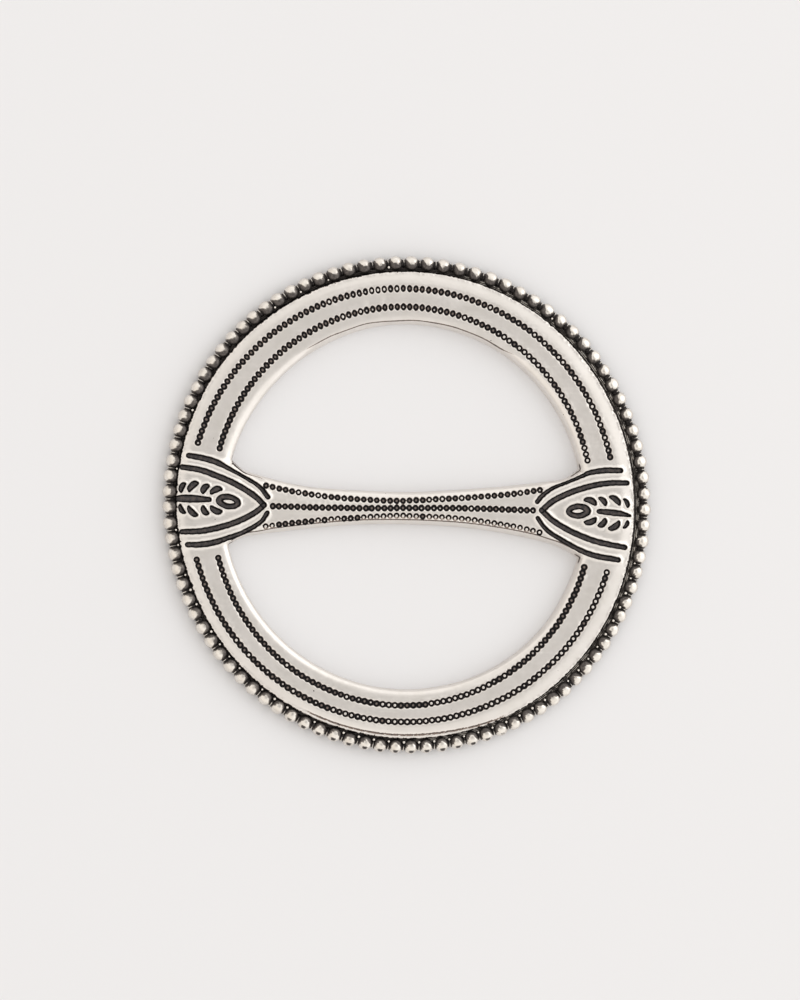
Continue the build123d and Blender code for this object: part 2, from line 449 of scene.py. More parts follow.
punch = {
    "outer": 0.48, "inner": 0.175, "depth": 0.16, "centreDrop": 0.05, "points": 14, "reach": 0.62,
    "lip": 0.042, "lipPlace": 0.06, "lipWidth": 0.07,
    "wander": 0.012, "uneven": 0.02,                # how far the marks stray, and how their size varies
    "barWander": 0.01, "barTall": 1.04,
    "barWidest": 0.9,       # the middle row's marks stand so close that they are narrower
    # how much deeper the middle is than a worn one, and how dark it is
    "wear": {"b": (0.0, 0.0), "h": (0.5, 0.7), "d": (1.0, 0.6), "u": (0.0, 0.0)},
}
ringRows = {
    "upperOuter": {
        "angles": (14.4, 165.37), "bow": 2.1, "radii": (28.60, 28.83, 28.92, 29.11, 29.44),
        "tall": (1.0, .98, 1.08, 1.06, 1.0), "narrow": (1.0, .96, .82, .85, .95),
        "wear": "dhbbdbbhbb hddbddbbhd bhbddhdddd bdddhddddd dddddbhbbb "
                "hhhhdhbhdd dhdddddddd dddddddddd ddddddddh"},
    "upperInner": {
        "angles": (14.98, 165.09), "bow": 1.95, "radii": (25.48, 26.11, 26.47, 26.48, 26.42),
        "tall": (.95, .98, 1.08, 1.08, 1.0), "narrow": (.95, .96, .82, .84, .95),
        "wear": "bbbdddbhdb hbhdbbdbbb bbdbbhdddh hbdddhhddd dhddddhhbd "
                "hbdhdddddh dddhdddddd dddddddddd ddd"},
    "lowerOuter": {
        "angles": (196.1, 343.08), "bow": 0.1, "radii": (29.47, 29.46, 29.12, 29.04, 28.80),
        "tall": (.98, .98, 1.0, 1.0, 1.0), "narrow": (.98, .98, .96, .98, 1.0),
        "wear": "ddddddddhd ddddbddbdd hhddhdbddd hddbhbbhbb bdbbbbbbbb "
                "bbbbbbbhbb bbbbbhbhbb dbbbbbbbbd bbbbbbbdb"},
    "lowerInner": {
        "angles": (197.16, 342.41), "bow": -0.2, "radii": (26.60, 27.02, 26.93, 26.42, 25.66),
        "tall": (.95, .95, .98, 1.0, 1.0), "narrow": (.95, .95, .94, .96, .98),
        "wear": "dddhdddddd ddhddddddh dbdddddddd ddbdhdhdbb bdddddbbbb "
                "bbbbbbbhdb ddhdhhbhdd dddddddddd ddd"},
}
barRows = {
    "barUpper": {
        "ends": (-19.1, 18.2), "size": 0.89,
        "heights": [(-19.1, 2.0), (-16.5, 1.5), (-13, 1.0), (-9.5, .65), (-4.25, .45), (-.75, .45),
                    (3.7, .75), (9.1, 1.2), (14.5, 1.8), (18.2, 2.42)],
        "wear": "dddddbdhbh ddhddddddd dddddbhbdd bdhdhdddhb ddh"},
    "barMiddle": {
        "ends": (-18.18, 17.3), "size": 0.95,
        "heights": [(-18.2, -.73), (-12, -.75), (-4, -.62), (0, -.48), (9, -.3), (17.3, -.34)],
        "wear": "dddddddddd dddddddddd ddddhdhhdd hdbddddddd hdh"},
    "barLower": {
        "ends": (-19.03, 18.22), "size": 0.9,
        "heights": [(-19.05, -3.48), (-16.4, -3.05), (-12.85, -2.6), (-9.35, -2.2), (-4.1, -1.75),
                    (-.6, -1.56), (4.75, -1.6), (8.35, -1.78), (11.9, -2.2), (15.5, -2.7),
                    (18.25, -3.27)],
        "wear": "uudddddduh uuhhduuuuu uuuuduuuuu uuuuuuuuuu uub"},
}


def tableAt(values, share):
    # A smooth reading of evenly spaced values
    line = smoothLine([(i, v) for i, v in enumerate(values)], 0.05)
    return np.interp(share * (len(values) - 1), line[:, 0], line[:, 1])


punches = []    # x, y, outward angle, tangential and radial size, wear letter
uneven = punch["uneven"]
for row in ringRows.values():
    wear = row["wear"].replace(" ", "")
    share = np.arange(len(wear)) / (len(wear) - 1)
    first, last = row["angles"]
    angles = np.radians(first + (last - first) * share + row["bow"] * 4 * share * (1 - share))
    radii = tableAt(row["radii"], share) + seed.normal(0, punch["wander"], len(wear))
    tall = tableAt(row["tall"], share) * seed.normal(1, uneven, len(wear))
    narrow = tableAt(row["narrow"], share) * seed.normal(1, uneven, len(wear))
    for a, r, high, across, letter in zip(angles, radii, tall, narrow, wear):
        punches.append((r * math.cos(a), r * math.sin(a), a, across, high, letter))
for row in barRows.values():
    wear = row["wear"].replace(" ", "")
    x = np.linspace(*row["ends"], len(wear)) + seed.normal(0, punch["wander"], len(wear))
    line = smoothLine(row["heights"], 0.2)
    y = np.interp(x, line[:, 0], line[:, 1]) + seed.normal(0, punch["barWander"], len(wear))
    for px, py, letter in zip(x, y, wear):
        size = row["size"] * seed.normal(1, uneven)
        along = min(size, punch["barWidest"])
        punches.append((px, py, math.pi / 2, along, size * punch["barTall"], letter))
print(len(cuts), "engraved cuts and", len(punches), "punch marks")


# Plate: points, heights and skin

def cutPoints(line, closed, gaps):
    # Points along a cut's middle, beside it at each gap from its edge, and round its ends
    normal = lineNormals(line, closed)
    found = [line[::2, :2]]
    steps = 8       # round each end
    for gap in gaps:
        reach = np.maximum(line[:, 2] + gap, 0.02)[:, None]
        found += [line[:, :2] + normal * reach, line[:, :2] - normal * reach]
        if not closed:
            for end, side in ((0, 1), (-1, -1)):
                start = math.atan2(normal[end, 1], normal[end, 0])
                turn = start + side * math.pi * np.arange(1, steps) / steps
                found.append(line[end, :2] + reach[end] * unitCircle(turn))
    return np.vstack(found)


def punchFrame(xy, mark):
    # How far each point lies along the row and outward from a mark's middle, where 1 is the mark's
    # own size
    x, y, outward, across, high, letter = mark
    dx, dy = xy[:, 0] - x, xy[:, 1] - y
    c, s = math.cos(outward), math.sin(outward)
    along, up = (-dx * s + dy * c) / across, (dx * c + dy * s) / high
    return along, up


def punchPoints(mark):
    # Rings of points at a mark's burr, at both its walls and in its middle
    x, y, outward, across, high, letter = mark
    turn = math.tau * np.arange(punch["points"]) / punch["points"]
    c, s = math.cos(outward), math.sin(outward)
    outer, inner = punch["outer"], punch["inner"]
    found = [np.array([[x, y]])]
    for reach in (outer + 0.09, outer, outer - 0.06, inner + 0.06, inner, inner * 0.5):
        u, v = reach * across * np.cos(turn), reach * high * np.sin(turn)
        found.append(np.column_stack([x - u * s + v * c, y + u * c + v * s]))
    return np.vstack(found)


def thinOut(points, cell):
    # Keeps the first point of each small square cell
    keys = np.floor(points / cell).astype(np.int64)
    return points[np.sort(np.unique(keys, axis=0, return_index=True)[1])]


def polar(xy):
    return np.hypot(xy[:, 0], xy[:, 1]), np.degrees(np.arctan2(xy[:, 1], xy[:, 0]))


# The openings' rim and what lies beside it. A window is its middle angle, half width and softness
# in degrees, and a fourth number says how much it adds.
rim = {
    "wallTop": 1.2,                 # where the rounded rim above meets the wall below
    "width": 0.85, "barWider": 0.15, "underNarrower": 0.6,
    "wider": [(158, 12, 12, .35), (280, 25, 20, -.25), (318, 22, 14, -.4)],
    "barEnd": (22.6, 23.8),         # radii between which the bar's rim turns into the ring's
    "barMiddle": -0.4,              # y
    "power": (2.1, 0.95),           # how full the rounding is, and how much less where it is crisp
    # the thin brown line at the top, a painted dark reflection on the crease that faces down, which waves
    # once in so many degrees
    "top": (90, 30, 10), "creaseRadius": 24.67, "creaseWave": 0.18, "creasePeriod": 9,
    "creaseReflectionDark": 0.68, "creaseHalf": (0.03, 0.14), "creaseSoft": 0.06,
    # the openings' corners: where they start along the bar, and how far out and up they reach
    "cornerFrom": (17.5, 20), "cornerRadius": 24.3, "cornerRise": 6.6, "cornerWidth": 0.34,
    "cornerCrisp": (0.8, 0.35), "cornerDeep": (20.5, 22.5),
    # the black hooks in the corners: between which lengths and thicknesses they fade out
    "cornerHookDark": 0.85, "hook": (0.5, 1.2), "hookLonger": 0.8, "hookThin": (0.04, 0.12),
    "hookWithin": 24,
    # the thin brown line along the lower half's rim
    "edgeLine": (248, 40, 35), "edgeLineDark": (0.44, 0.1), "edgeLineThin": (0.02, 0.07),
    "edgeLinePeriod": 1.1,
    # the metal beside the rim leans off towards the hole
    "marginWidth": 1.45, "marginBend": 0.75, "marginTilt": 11.2,
    "marginEnd": (22.3, 23.8), "barMarginWider": 1.1, "marginWider": [(160, 18, 12, .25)],
    "leans": [(10, 55, 20, -.3), (312, 18, 12, .35), (166, 12, 14, -.15), (243, 48, 25, -.24)],
    "barLeans": 0.62, "barLeansTo": (-7, 3),
}
# What lies along the plate's edge: a ragged black brink with a burr, and lines round the bevel
brink = {
    "dark": (0.03, 0.11), "ragged": 0.17, "raggedPeriods": (0.5, 0.22),
    "burr": 0.055, "burrPlace": 0.17, "burrWidth": 0.06,
    # at the bottom a line runs round the bevel, and outside it a grey band is painted on the bevel as a
    # painted dark reflection
    "scribe": (271, 23, 7), "scribeRadius": 30.78, "scribeShift": 0.4, "scribeShiftTo": (-82, -62),
    "scribeDark": 0.85, "greyDark": 0.56, "greyWidth": 0.2,
    # three faint lines at the left
    "faint": [(132, 11, 4), (215, 6, 4), (200, 3, 3)], "faintRadius": 30.75, "faintDark": 0.3,
}


def peak(away, width):
    # 1 at no distance, and a smooth fall over the width
    return np.exp(-(away / width) ** 2)


def softBend(share):
    # Flat before 0, then a curve that goes over into a straight slope at 1
    share = np.maximum(share, 0)
    return np.where(share < 1, share ** 3 - share ** 4 / 2, share - 0.5)


def rimShape(xy):
    # Width and crispness of an opening's rim. It is soft on the left and wide above the bar, and
    # narrow at the top and under the bar, where a thin brown line marks the crisp crease that faces
    # down; that line is a painted dark reflection. The two corners at the left are crisp too.
    radius, angle = polar(xy)
    out = np.abs(xy[:, 0])
    onBar = fade(*rim["barEnd"], radius)
    underBar = onBar * (xy[:, 1] < rim["barMiddle"])
    byCorner = smoothStep(*rim["cornerFrom"], out) * (radius < rim["cornerRadius"])
    byCorner = byCorner * (np.abs(xy[:, 1]) < rim["cornerRise"])
    atTop = (1 - onBar) * angleWindow(angle, *rim["top"])
    wave = noiseAt(np.column_stack([angle / rim["creasePeriod"], 0 * angle]), 1.0)
    topWidth = rim["creaseRadius"] + rim["creaseWave"] * wave - plate["holeRadius"]
    topWidth = topWidth - driftAt(plate["holeDrift"], angle)
    sides = windowSum(rim["wider"], angle) * (1 - onBar)
    width = rim["width"] * (1 + rim["barWider"] * onBar - rim["underNarrower"] * underBar + sides)
    width = width + (topWidth - width) * atTop + (rim["cornerWidth"] - width) * byCorner
    crisp, crisper = rim["cornerCrisp"]
    cornerCrisp = (crisp + crisper * smoothStep(*rim["cornerDeep"], out)) * byCorner * (xy[:, 0] < 0)
    return width, np.max([underBar, atTop, cornerCrisp], axis=0)


def rimProfile(xy, away):
    # How far the rim lies under the plate's top, and how brown its crease is; the brown of the crisp
    # creases is painted dark reflection
    width, crisp = rimShape(xy)
    radius, angle = polar(xy)
    onRing = smoothStep(*rim["marginEnd"], radius)
    full, less = rim["power"]
    power = full - less * crisp
    share = np.clip(away / width, 0, 1)
    rise = (1 - (1 - share) ** power) ** (1 / power)
    thin, wider = rim["creaseHalf"]
    half = thin + wider * np.clip(crisp - rim["cornerCrisp"][0], 0, rim["cornerCrisp"][1])
    # painted dark reflection along the crisp crease
    crease = rim["creaseReflectionDark"] * crisp * fade(half, half + rim["creaseSoft"], np.abs(away - width))
    dark, uneven = rim["edgeLineDark"]
    line = (dark + uneven * noiseAt(xy, rim["edgeLinePeriod"], 2.0)) * fade(*rim["edgeLineThin"], away)
    crease = np.maximum(crease, onRing * angleWindow(angle, *rim["edgeLine"]) * line * (away > -0.01))
    # The margin leans off most on the ring, less on the bar's left half and not on its right
    leans = onRing * (1 + windowSum(rim["leans"], angle))
    leans = np.maximum(leans, rim["barLeans"] * fade(*rim["barLeansTo"], xy[:, 0]))
    reach = rim["marginWidth"] + rim["barMarginWider"] * (1 - onRing) + windowSum(rim["marginWider"], angle)
    slope = np.tan(np.radians(rim["marginTilt"])) * rim["marginBend"]
    margin = slope * softBend((reach - away) / rim["marginBend"]) * leans
    return (plateTop - rim["wallTop"]) * (1 - rise) + margin * rise, crease


def shoulderProfile(xy):
    # A filed bevel that bends down from the flat, then a small rounding at the very edge
    radius, angle = polar(xy)
    radius = radius - driftAt(plate["edgeDrift"], angle)
    steep, mild = plate["bevelTilt"]
    tilt = steep + (mild - steep) * angleWindow(angle, *plate["bevelMild"])
    start = plate["bevelStart"] - plate["bevelShift"] * np.cos(np.radians(angle))
    bent = softBend((radius - start) / plate["bevelBend"])
    drop = np.tan(np.radians(tilt)) * plate["bevelBend"] * bent
    last = np.clip((radius - plate["edgeRadius"] + plate["edgeRounding"]) / plate["edgeRounding"], 0, 1)
    return drop + plate["edgeDrop"] * (1 - np.sqrt(np.maximum(1 - last ** 2, 0)))


def keepMost(values, near, found):
    values[near] = np.maximum(values[near], found)


def engrave(xy, groove, lip, oxideAndPaintedLight):
    # Each cut is black inside, and has a burr beside it
    for line, closed, depth in cuts:
        reach = line[:, 2].max() + graver["reach"]
        low, high = line[:, :2].min(0) - reach, line[:, :2].max(0) + reach
        near = np.flatnonzero(((xy > low) & (xy < high)).all(1))
        away, half = distanceToLine(xy[near], line, closed)
        gap = away - half + graver["ragged"] * noiseAt(xy[near], graver["raggedPeriod"])
        stain = fade(-0.04, 0.05, gap) * (0.72 + 0.28 * smoothStep(-0.26, -0.17, gap))
        keepMost(groove, near, depth * fade(-graver["wall"], 0.01, gap))
        burr = graver["lip"] * peak(gap - graver["lipPlace"], graver["lipWidth"])
        keepMost(lip, near, burr * (gap > -0.02))
        keepMost(oxideAndPaintedLight, near, stain)


def punchRings(xy, groove, lip, oxideAndPaintedLight):
    # Each mark is a black ring with a burr round it, and its middle is worn or dark
    outer, inner = punch["outer"], punch["inner"]
    for mark in punches:
        near = np.flatnonzero((np.abs(xy - np.array(mark[:2])) < punch["reach"]).all(1))
        along, up = punchFrame(xy[near], mark)
        away = np.hypot(along, up)
        letter = mark[-1]
        sunk, dark = punch["wear"][letter]
        ringCut = fade(outer - 0.07, outer + 0.005, away)
        ringCut = ringCut * smoothStep(inner - 0.01, inner + 0.06, away)
        middle = fade(inner - 0.02, inner + 0.06, away)
        down = punch["depth"] * ringCut + punch["centreDrop"] * (0.3 + sunk) * middle
        hole = smoothStep(inner - 0.035, inner + 0.035, away)
        stain = fade(outer - 0.03, outer + 0.03, away) * (dark + (1 - dark) * hole)
        if letter == "h":   # a small worn spot, off the middle
            stain = stain * smoothStep(0.06, 0.12, np.hypot(along - 0.03, up + 0.05))
        if letter == "u":   # the punch leaned towards the bar's middle line
            lean = 0.45 + 0.55 * smoothStep(-0.3, 0.05, up)
            down, stain = down * lean, stain * lean
        keepMost(groove, near, down)
        keepMost(oxideAndPaintedLight, near, stain)
        keepMost(lip, near, punch["lip"] * peak(away - outer - punch["lipPlace"], punch["lipWidth"]))


def edgeMarks(xy):
    # How much the plate's edge adds to the height, and how dark it is
    radius, angle = polar(xy)
    inset = plate["edgeRadius"] + driftAt(plate["edgeDrift"], angle) - radius
    coarse, fine = brink["raggedPeriods"]
    ragged = brink["ragged"] * (noiseAt(xy, coarse) + 0.8 * noiseAt(xy, fine, 5.0))
    edge = fade(*brink["dark"], inset - ragged)
    height = brink["burr"] * peak(inset - brink["burrPlace"] - ragged, brink["burrWidth"])
    low = angleWindow(angle, *brink["scribe"])
    shift = brink["scribeShift"] * smoothStep(*brink["scribeShiftTo"], angle)
    past = radius - brink["scribeRadius"] - shift - 0.4 * ragged
    scribe = low * peak(past, 0.08)
    # the grey band beyond the line: painted dark reflection
    grey = low * smoothStep(0, 0.06, past)
    grey = grey * fade(brink["greyWidth"], brink["greyWidth"] + 0.06, past)
    height += low * (0.05 * peak(past - 0.3 + ragged, 0.06) - 0.04 * peak(past, 0.06))
    faint = np.max([angleWindow(angle, *window) for window in brink["faint"]], axis=0)
    faint = faint * peak(radius - brink["faintRadius"], 0.06)
    dark = [edge, brink["scribeDark"] * scribe, brink["greyDark"] * grey, brink["faintDark"] * faint]
    return height, np.max(dark, axis=0)


def plateHeights(xy):
    z = plateTop + plate["crownWave"] * (noiseAt(xy, plate["crownPeriod"]) - 0.3) - shoulderProfile(xy)
    groove, lip, oxideAndPaintedLight = (np.zeros(len(xy)) for part in range(3))
    for bar, loop in zip(barEdges.values(), openings):
        away = gapToLoop(xy, loop)
        drop, crease = rimProfile(xy, away)
        z -= drop
        oxideAndPaintedLight = np.maximum(oxideAndPaintedLight, crease)
        for corner in (bar[0], bar[-1]):   # a thin black hook in each corner
            near = np.hypot(*(xy - np.array(corner)).T)
            # longer beside the upper arches
            onwards = (np.hypot(*xy.T) < rim["hookWithin"]) * (xy[:, 1] > 0)
            start, end = (length + rim["hookLonger"] * onwards for length in rim["hook"])
            hook = fade(start, end, near) * fade(*rim["hookThin"], away)
            oxideAndPaintedLight = np.maximum(oxideAndPaintedLight, rim["cornerHookDark"] * hook)
    engrave(xy, groove, lip, oxideAndPaintedLight)
    punchRings(xy, groove, lip, oxideAndPaintedLight)
    z += lip * fade(0.0, 0.05, groove) - groove
    height, dark = edgeMarks(xy)
    return z + height, np.maximum(oxideAndPaintedLight, dark)


def boundaryLoops(faces):
    # Ordered rings of points along the edges that only one face uses
    onward = {}
    used = set()
    for face in faces:
        for a, b in zip(face, face[1:] + face[:1]):
            used.add((a, b))
    for a, b in used:
        if (b, a) not in used:
            onward[a] = b
    loops = []
    while onward:
        start, point = next(iter(onward.items()))
        del onward[start]
        loop = [start]
        while point != start:
            loop.append(point)
            point = onward.pop(point)
        loops.append(loop)
    return loops


def triangulate(points, outer, holes):
    # Delaunay triangles of the points, kept inside the round outer edge and outside the holes
    corners = [Vector(p) for p in points]
    edges = []
    for loop in [outer, *holes]:
        start = len(corners)
        corners += [Vector(p) for p in loop]
        edges += [(start + i, start + (i + 1) % len(loop)) for i in range(len(loop))]
    found = delaunay_2d_cdt(corners, edges, [], 0, 1e-5, False)
    xy = np.array([tuple(p) for p in found[0]])
    faces = np.array([f for f in found[2] if len(f) == 3])
    middle = xy[faces].mean(1)
    keep = gapToLoop(middle, outer) < 0
    for loop in holes:
        keep &= gapToLoop(middle, loop) > 0
    faces = faces[keep]
    a, b, c = (xy[faces[:, k]] for k in range(3))
    turned = (b[:, 0] - a[:, 0]) * (c[:, 1] - a[:, 1]) - (b[:, 1] - a[:, 1]) * (c[:, 0] - a[:, 0]) < 0
    faces[turned] = faces[turned][:, ::-1]
    return xy, faces


# Where the plate's mesh has points, in mm. Those of the edge, the rims and the cuts are close.
spacing = {
    "cutGaps": (0.22, 0.13, 0.06, 0.01, -0.05, -0.13, -0.24),
    "rimAways": (0.03, 0.09, 0.17, 0.28, 0.4, 0.55, 0.75, 1.0, 1.4),
    "creaseOffs": (-0.09, -0.03, 0.03, 0.09),
    "edgeInsets": (0.03, 0.07, 0.12, 0.18, 0.25, 0.36, 0.5, 0.65, 0.9, 1.2, 1.5),
    "scribeRadii": (30.66, 30.78, 30.84, 30.98, 31.06), "scribe": (271, 24, 7),
    "grid": 0.4, "gridReach": 31, "gridClear": 0.25,
    "least": 0.03, "edgeClear": 0.015,
}


def platePoints():
    groups = [punchPoints(mark) for mark in punches]
    groups += [cutPoints(line, closed, spacing["cutGaps"]) for line, closed, depth in cuts]
    for loop in openings:
        normal = lineNormals(loop, True)
        for away in spacing["rimAways"]:
            groups.append((loop - away * normal)[::2 if away < 0.5 else 4])
        width, crisp = rimShape(loop)
        for off in spacing["creaseOffs"]:
            groups.append((loop - (width + off)[:, None] * normal)[crisp > 0.1])
    for inset in spacing["edgeInsets"]:
        step = 1 if inset < 0.3 else 3
        groups.append((edgeLoop * (1 - inset / plate["edgeRadius"]))[::step])
    for radius in spacing["scribeRadii"]:
        circle = edgeLoop / np.hypot(*edgeLoop.T)[:, None] * radius
        groups.append(circle[angleWindow(edgeAngles, *spacing["scribe"]) > 0])
    span = np.arange(-spacing["gridReach"], spacing["gridReach"], spacing["grid"])
    gridX, gridY = np.meshgrid(span, span * 0.866)      # rows of equal-sided triangles
    gridX[::2] += spacing["grid"] / 2
    grid = np.column_stack([gridX.ravel(), gridY.ravel()])
    tight = np.vstack(groups)
    clear = spacing["gridClear"]
    taken = set(map(tuple, np.floor(tight / clear).astype(int)))
    grid = np.array([g for g in grid if tuple(np.floor(g / clear).astype(int)) not in taken])
    points = thinOut(np.vstack([tight, grid]), spacing["least"])
    points = points[gapToLoop(points, edgeLoop) < -spacing["edgeClear"]]
    for loop in openings:
        points = points[gapToLoop(points, loop) > spacing["edgeClear"]]
    return points


def wallSteps(loop, xyz, outerWall):
    # Offsets down a wall: how far out from the metal, the height, and how dark it is. The outer wall is
    # black with oxide; the dark at an opening's foot is painted shade.
    if outerWall:
        return [(0.03, plate["edgeHeight"] - 0.12, 0.95), (0.0, 1.2, 1.0), (0.0, 0.3, 1.0),
                (-plate["footChamfer"], 0.0, 0.9)]
    angle = np.degrees(np.arctan2(xyz[loop, 1], xyz[loop, 0]))
    foot = plate["footDark"] + windowSum(plate["footShade"], angle)
    return [(0.05, 0.9, 0.0), (0.09, 0.6, 0.0), (0.07, 0.3, 0.0), (0.03, 0.12, foot), (-0.06, 0.0, foot)]


def buildPlate():
    xy, faces = triangulate(platePoints(), edgeLoop, openings)
    z, oxideAndPaintedLight = plateHeights(xy)
    points = np.column_stack([xy, z])
    faces = faces.tolist()
    bottoms = []
    for loop in boundaryLoops(faces):
        ring = np.array(loop)
        normal = -lineNormals(points[ring], True)    # the metal is on the left of its boundary
        outerWall = np.hypot(*points[ring[0], :2]) > 0.5 * (plate["edgeRadius"] + plate["holeRadius"])
        above = ring
        for out, height, dark in wallSteps(loop, points, outerWall):
            start = len(points)
            level = np.column_stack([points[ring, :2] + normal * out, np.full(len(ring), height)])
            points = np.vstack([points, level])
            oxideAndPaintedLight = np.concatenate([oxideAndPaintedLight, dark + np.zeros(len(ring))])
            below = np.arange(start, start + len(ring))
            nextAbove, nextBelow = np.roll(above, -1), np.roll(below, -1)
            faces += np.column_stack([above, below, nextBelow, nextAbove]).tolist()
            above = below
        bottoms.append(above)
    # The plain flat back. Its rings are turned anticlockwise.
    outer, *holes = [points[ring, :2] for ring in sorted(bottoms, key=lambda r: -np.ptp(points[r, 0]))]
    backXy, backFaces = triangulate(np.zeros((0, 2)), outer, [hole[::-1] for hole in holes])
    start = len(points)
    points = np.vstack([points, np.column_stack([backXy, np.zeros(len(backXy))])])
    oxideAndPaintedLight = np.concatenate([oxideAndPaintedLight, np.full(len(backXy), plate["footDark"])])
    faces += (backFaces[:, ::-1] + start).tolist()
    return makeMesh("engravedPlate", points, faces, oxideAndPaintedLight, plateSilver)


engravedPlate = buildPlate()


# Beaded wire. In its own parts, the columns are along the wire, outward and up.

wire = {
    "count": 96, "radius": 32.27, "height": 1.1, "beadRadius": 1.03,
    # the wire was soldered on a little to the right: angle, and how far out
    "outDrift": [(0, .36), (45, .33), (90, .06), (135, -.16), (180, -.4), (225, -.24), (250, -.1),
                 (270, .02), (290, .22), (312, .5), (337, .44)],
    # the beads drift along the rim: angle, and how far on from even spacing
    "drift": [(0, .37), (20, .65), (40, 1.5), (60, 2.38), (80, 3.18), (100, 3.66), (120, 3.51),
              (140, 2.74), (160, 2.32), (180, 2.07), (220, 2.3), (260, 2.57), (280, 2.52),
              (300, 1.82), (320, 1.0), (340, .5)],
    "driftUneven": 0.05, "outUneven": 0.02,
    # a bead's mean share of the radius and its spread, and its lumps: how high, how wide, and how
    # the pattern moves on from bead to bead
    "beadSize": (0.99, 0.012), "lumps": [(0.04, 0.9, 3.1), (0.025, 0.4, 1.7)],
    # rubbed flatter on top, and on the right into a facet that looks outward
    "flatTop": 0.96, "topLean": 0.06, "facet": [(12, 60, 45, .26)],
    # shares of a bead's radius: how far outward the bright drop starts, by angle, and how wide it
    # grows. The drop is worn bright, and its change round the ring is painted light and shade.
    "wornAndLitFrom": [(0, -.5), (45, -.28), (90, -.05), (135, .15), (180, .08), (225, -.02), (270, -.3),
                 (315, -.16)],
    "wornAndLitHalf": [(0, .64), (45, .64), (90, .72), (135, .82), (180, .76), (225, .76), (270, .72),
                 (315, .68)],
    "paintedShadeSide": (185, 50, 35),                 # window of painted shade on the side away from the light, where the drop fades out
    "patchPeriod": 0.45, "crumbPeriod": 0.26,
    # underDark is oxide and painted shade under each bead, where it faces the plate
    "greyDark": 0.74, "flankDark": 0.85, "underDark": 0.9, "tipReflectionDark": 0.85,
    "tipReflection": (268, 20, 14),                        # where a painted dark reflection crosses the beads' tips
    "coreRadius": 0.52, "coreSides": 10, "coreSteps": 480,
    "collar": (0.12, 0.72), "collarUneven": 0.03,    # half its width, its radius, and their spread
    "grainRadius": 0.19, "grainPlace": (31.8, 1.85), "grainSize": (0.7, 1.1),
    "grainChance": 0.25, "moreGrains": [(265, 70, 15, .65)],
}


def newParts():
    return {"points": [], "faces": [], "oxideAndPaintedLight": [], "count": 0}


def addPart(parts, points, faces, oxideAndPaintedLight):
    parts["faces"] += [[parts["count"] + k for k in face] for face in faces]
    parts["points"].append(points)
    parts["oxideAndPaintedLight"].append(oxideAndPaintedLight)
    parts["count"] += len(points)


def joinParts(name, parts, material):
    points, oxideAndPaintedLight = np.vstack(parts["points"]), np.concatenate(parts["oxideAndPaintedLight"])
    return makeMesh(name, points, parts["faces"], oxideAndPaintedLight, material)


def ballShape(rounds, slices):
    # A ball whose poles point along the wire
    around = math.tau * np.arange(rounds) / rounds
    points, faces = [(1, 0, 0)], []
    for row in range(1, slices):
        v = math.pi * row / slices
        points += [(math.cos(v), math.sin(v) * math.cos(u), math.sin(v) * math.sin(u)) for u in around]
    points.append((-1, 0, 0))
    last = len(points) - 1
    for i in range(rounds):
        k = (i + 1) % rounds
        faces.append([0, 1 + k, 1 + i])
        faces.append([last, last - rounds + i, last - rounds + k])
        for row in range(slices - 2):
            a = 1 + row * rounds
            faces.append([a + i, a + k, a + rounds + k, a + rounds + i])
    return np.array(points), faces


def onWire(shape, angle, radius, height):
    c, s = math.cos(angle), math.sin(angle)
    out = radius + driftAt(wire["outDrift"], math.degrees(angle)) + shape[:, 1]
    return np.column_stack([out * c - shape[:, 0] * s, out * s + shape[:, 0] * c, height + shape[:, 2]])


def beadOxideAndPaintedLight(ball, angle):
    # A drop rubbed bright, with its point towards the gutter. Round it the bead is gunmetal grey,
    # and black next to the other beads and underneath, where it faces the plate; the black underneath
    # is oxide and painted shade. Small crumbs of the flanks are bright too. How far the drop reaches
    # changes round the ring as painted light, and on the left, away from the light, it fades out into
    # painted shade. At the bottom a painted dark reflection crosses the tips.
    along, outward, up = ball.T
    patchy = noiseAt(ball, wire["patchPeriod"], angle)
    # painted shade on the left, away from the light
    left = angleWindow(angle, *wire["paintedShadeSide"])
    edge = outward - driftAt(wire["wornAndLitFrom"], angle) - 1.4 * along ** 2 + 0.32 * patchy
    grey = fade(-0.1 - 0.3 * left, 0.1 + 0.12 * left, edge)
    half = driftAt(wire["wornAndLitHalf"], angle)
    flank = smoothStep(half, half + 0.13, np.abs(along) + 0.14 * patchy)
    crumbs = smoothStep(-0.05, 0.2, noiseAt(ball, wire["crumbPeriod"], 3.7 * angle))
    flank = flank * (1 - 0.9 * crumbs * smoothStep(-0.2, 0.2, outward))
    end = smoothStep(0.9, 0.97, np.abs(along))
    # under the bead, facing the plate: oxide and painted shade
    under = fade(-0.45, -0.1, up + 0.2 * patchy) * fade(0.1, 0.45, outward)
    # a painted dark reflection across the tips at the bottom
    tipReflection = fade(0.7, 1.3, np.hypot(along / 0.4, (up - 0.6) / 0.16))
    tipReflection = tipReflection * angleWindow(angle, *wire["tipReflection"]) * (outward > 0)
    return np.max([wire["greyDark"] * grey, wire["flankDark"] * flank, end, wire["underDark"] * under,
                   wire["tipReflectionDark"] * tipReflection], axis=0)


def sweptRing(parts, rows, steps, share):
    # A closed tube round the axis, from rows of radius, height and oxide along it. It follows a share
    # of the wire's drift.
    each = np.arange(steps)
    turn = math.tau * each / steps
    points, oxideAndPaintedLight, faces = [], [], []
    for radius, height, dark in rows:
        radius = radius + share * driftAt(wire["outDrift"], np.degrees(turn))
        points.append(np.column_stack([radius[:, None] * unitCircle(turn), height + 0 * turn]))
        oxideAndPaintedLight.append(dark + 0 * turn)
    onward = (each + 1) % steps
    for row in range(len(rows)):
        a, b = row * steps, (row + 1) % len(rows) * steps
        faces += np.column_stack([a + each, b + each, b + onward, a + onward]).tolist()
    addPart(parts, np.vstack(points), faces, np.concatenate(oxideAndPaintedLight))


def beadAngles():
    even = 360 * np.arange(wire["count"]) / wire["count"]
    drift = driftAt(wire["drift"], even)
    return np.radians(even + drift + seed.normal(0, wire["driftUneven"], wire["count"]))


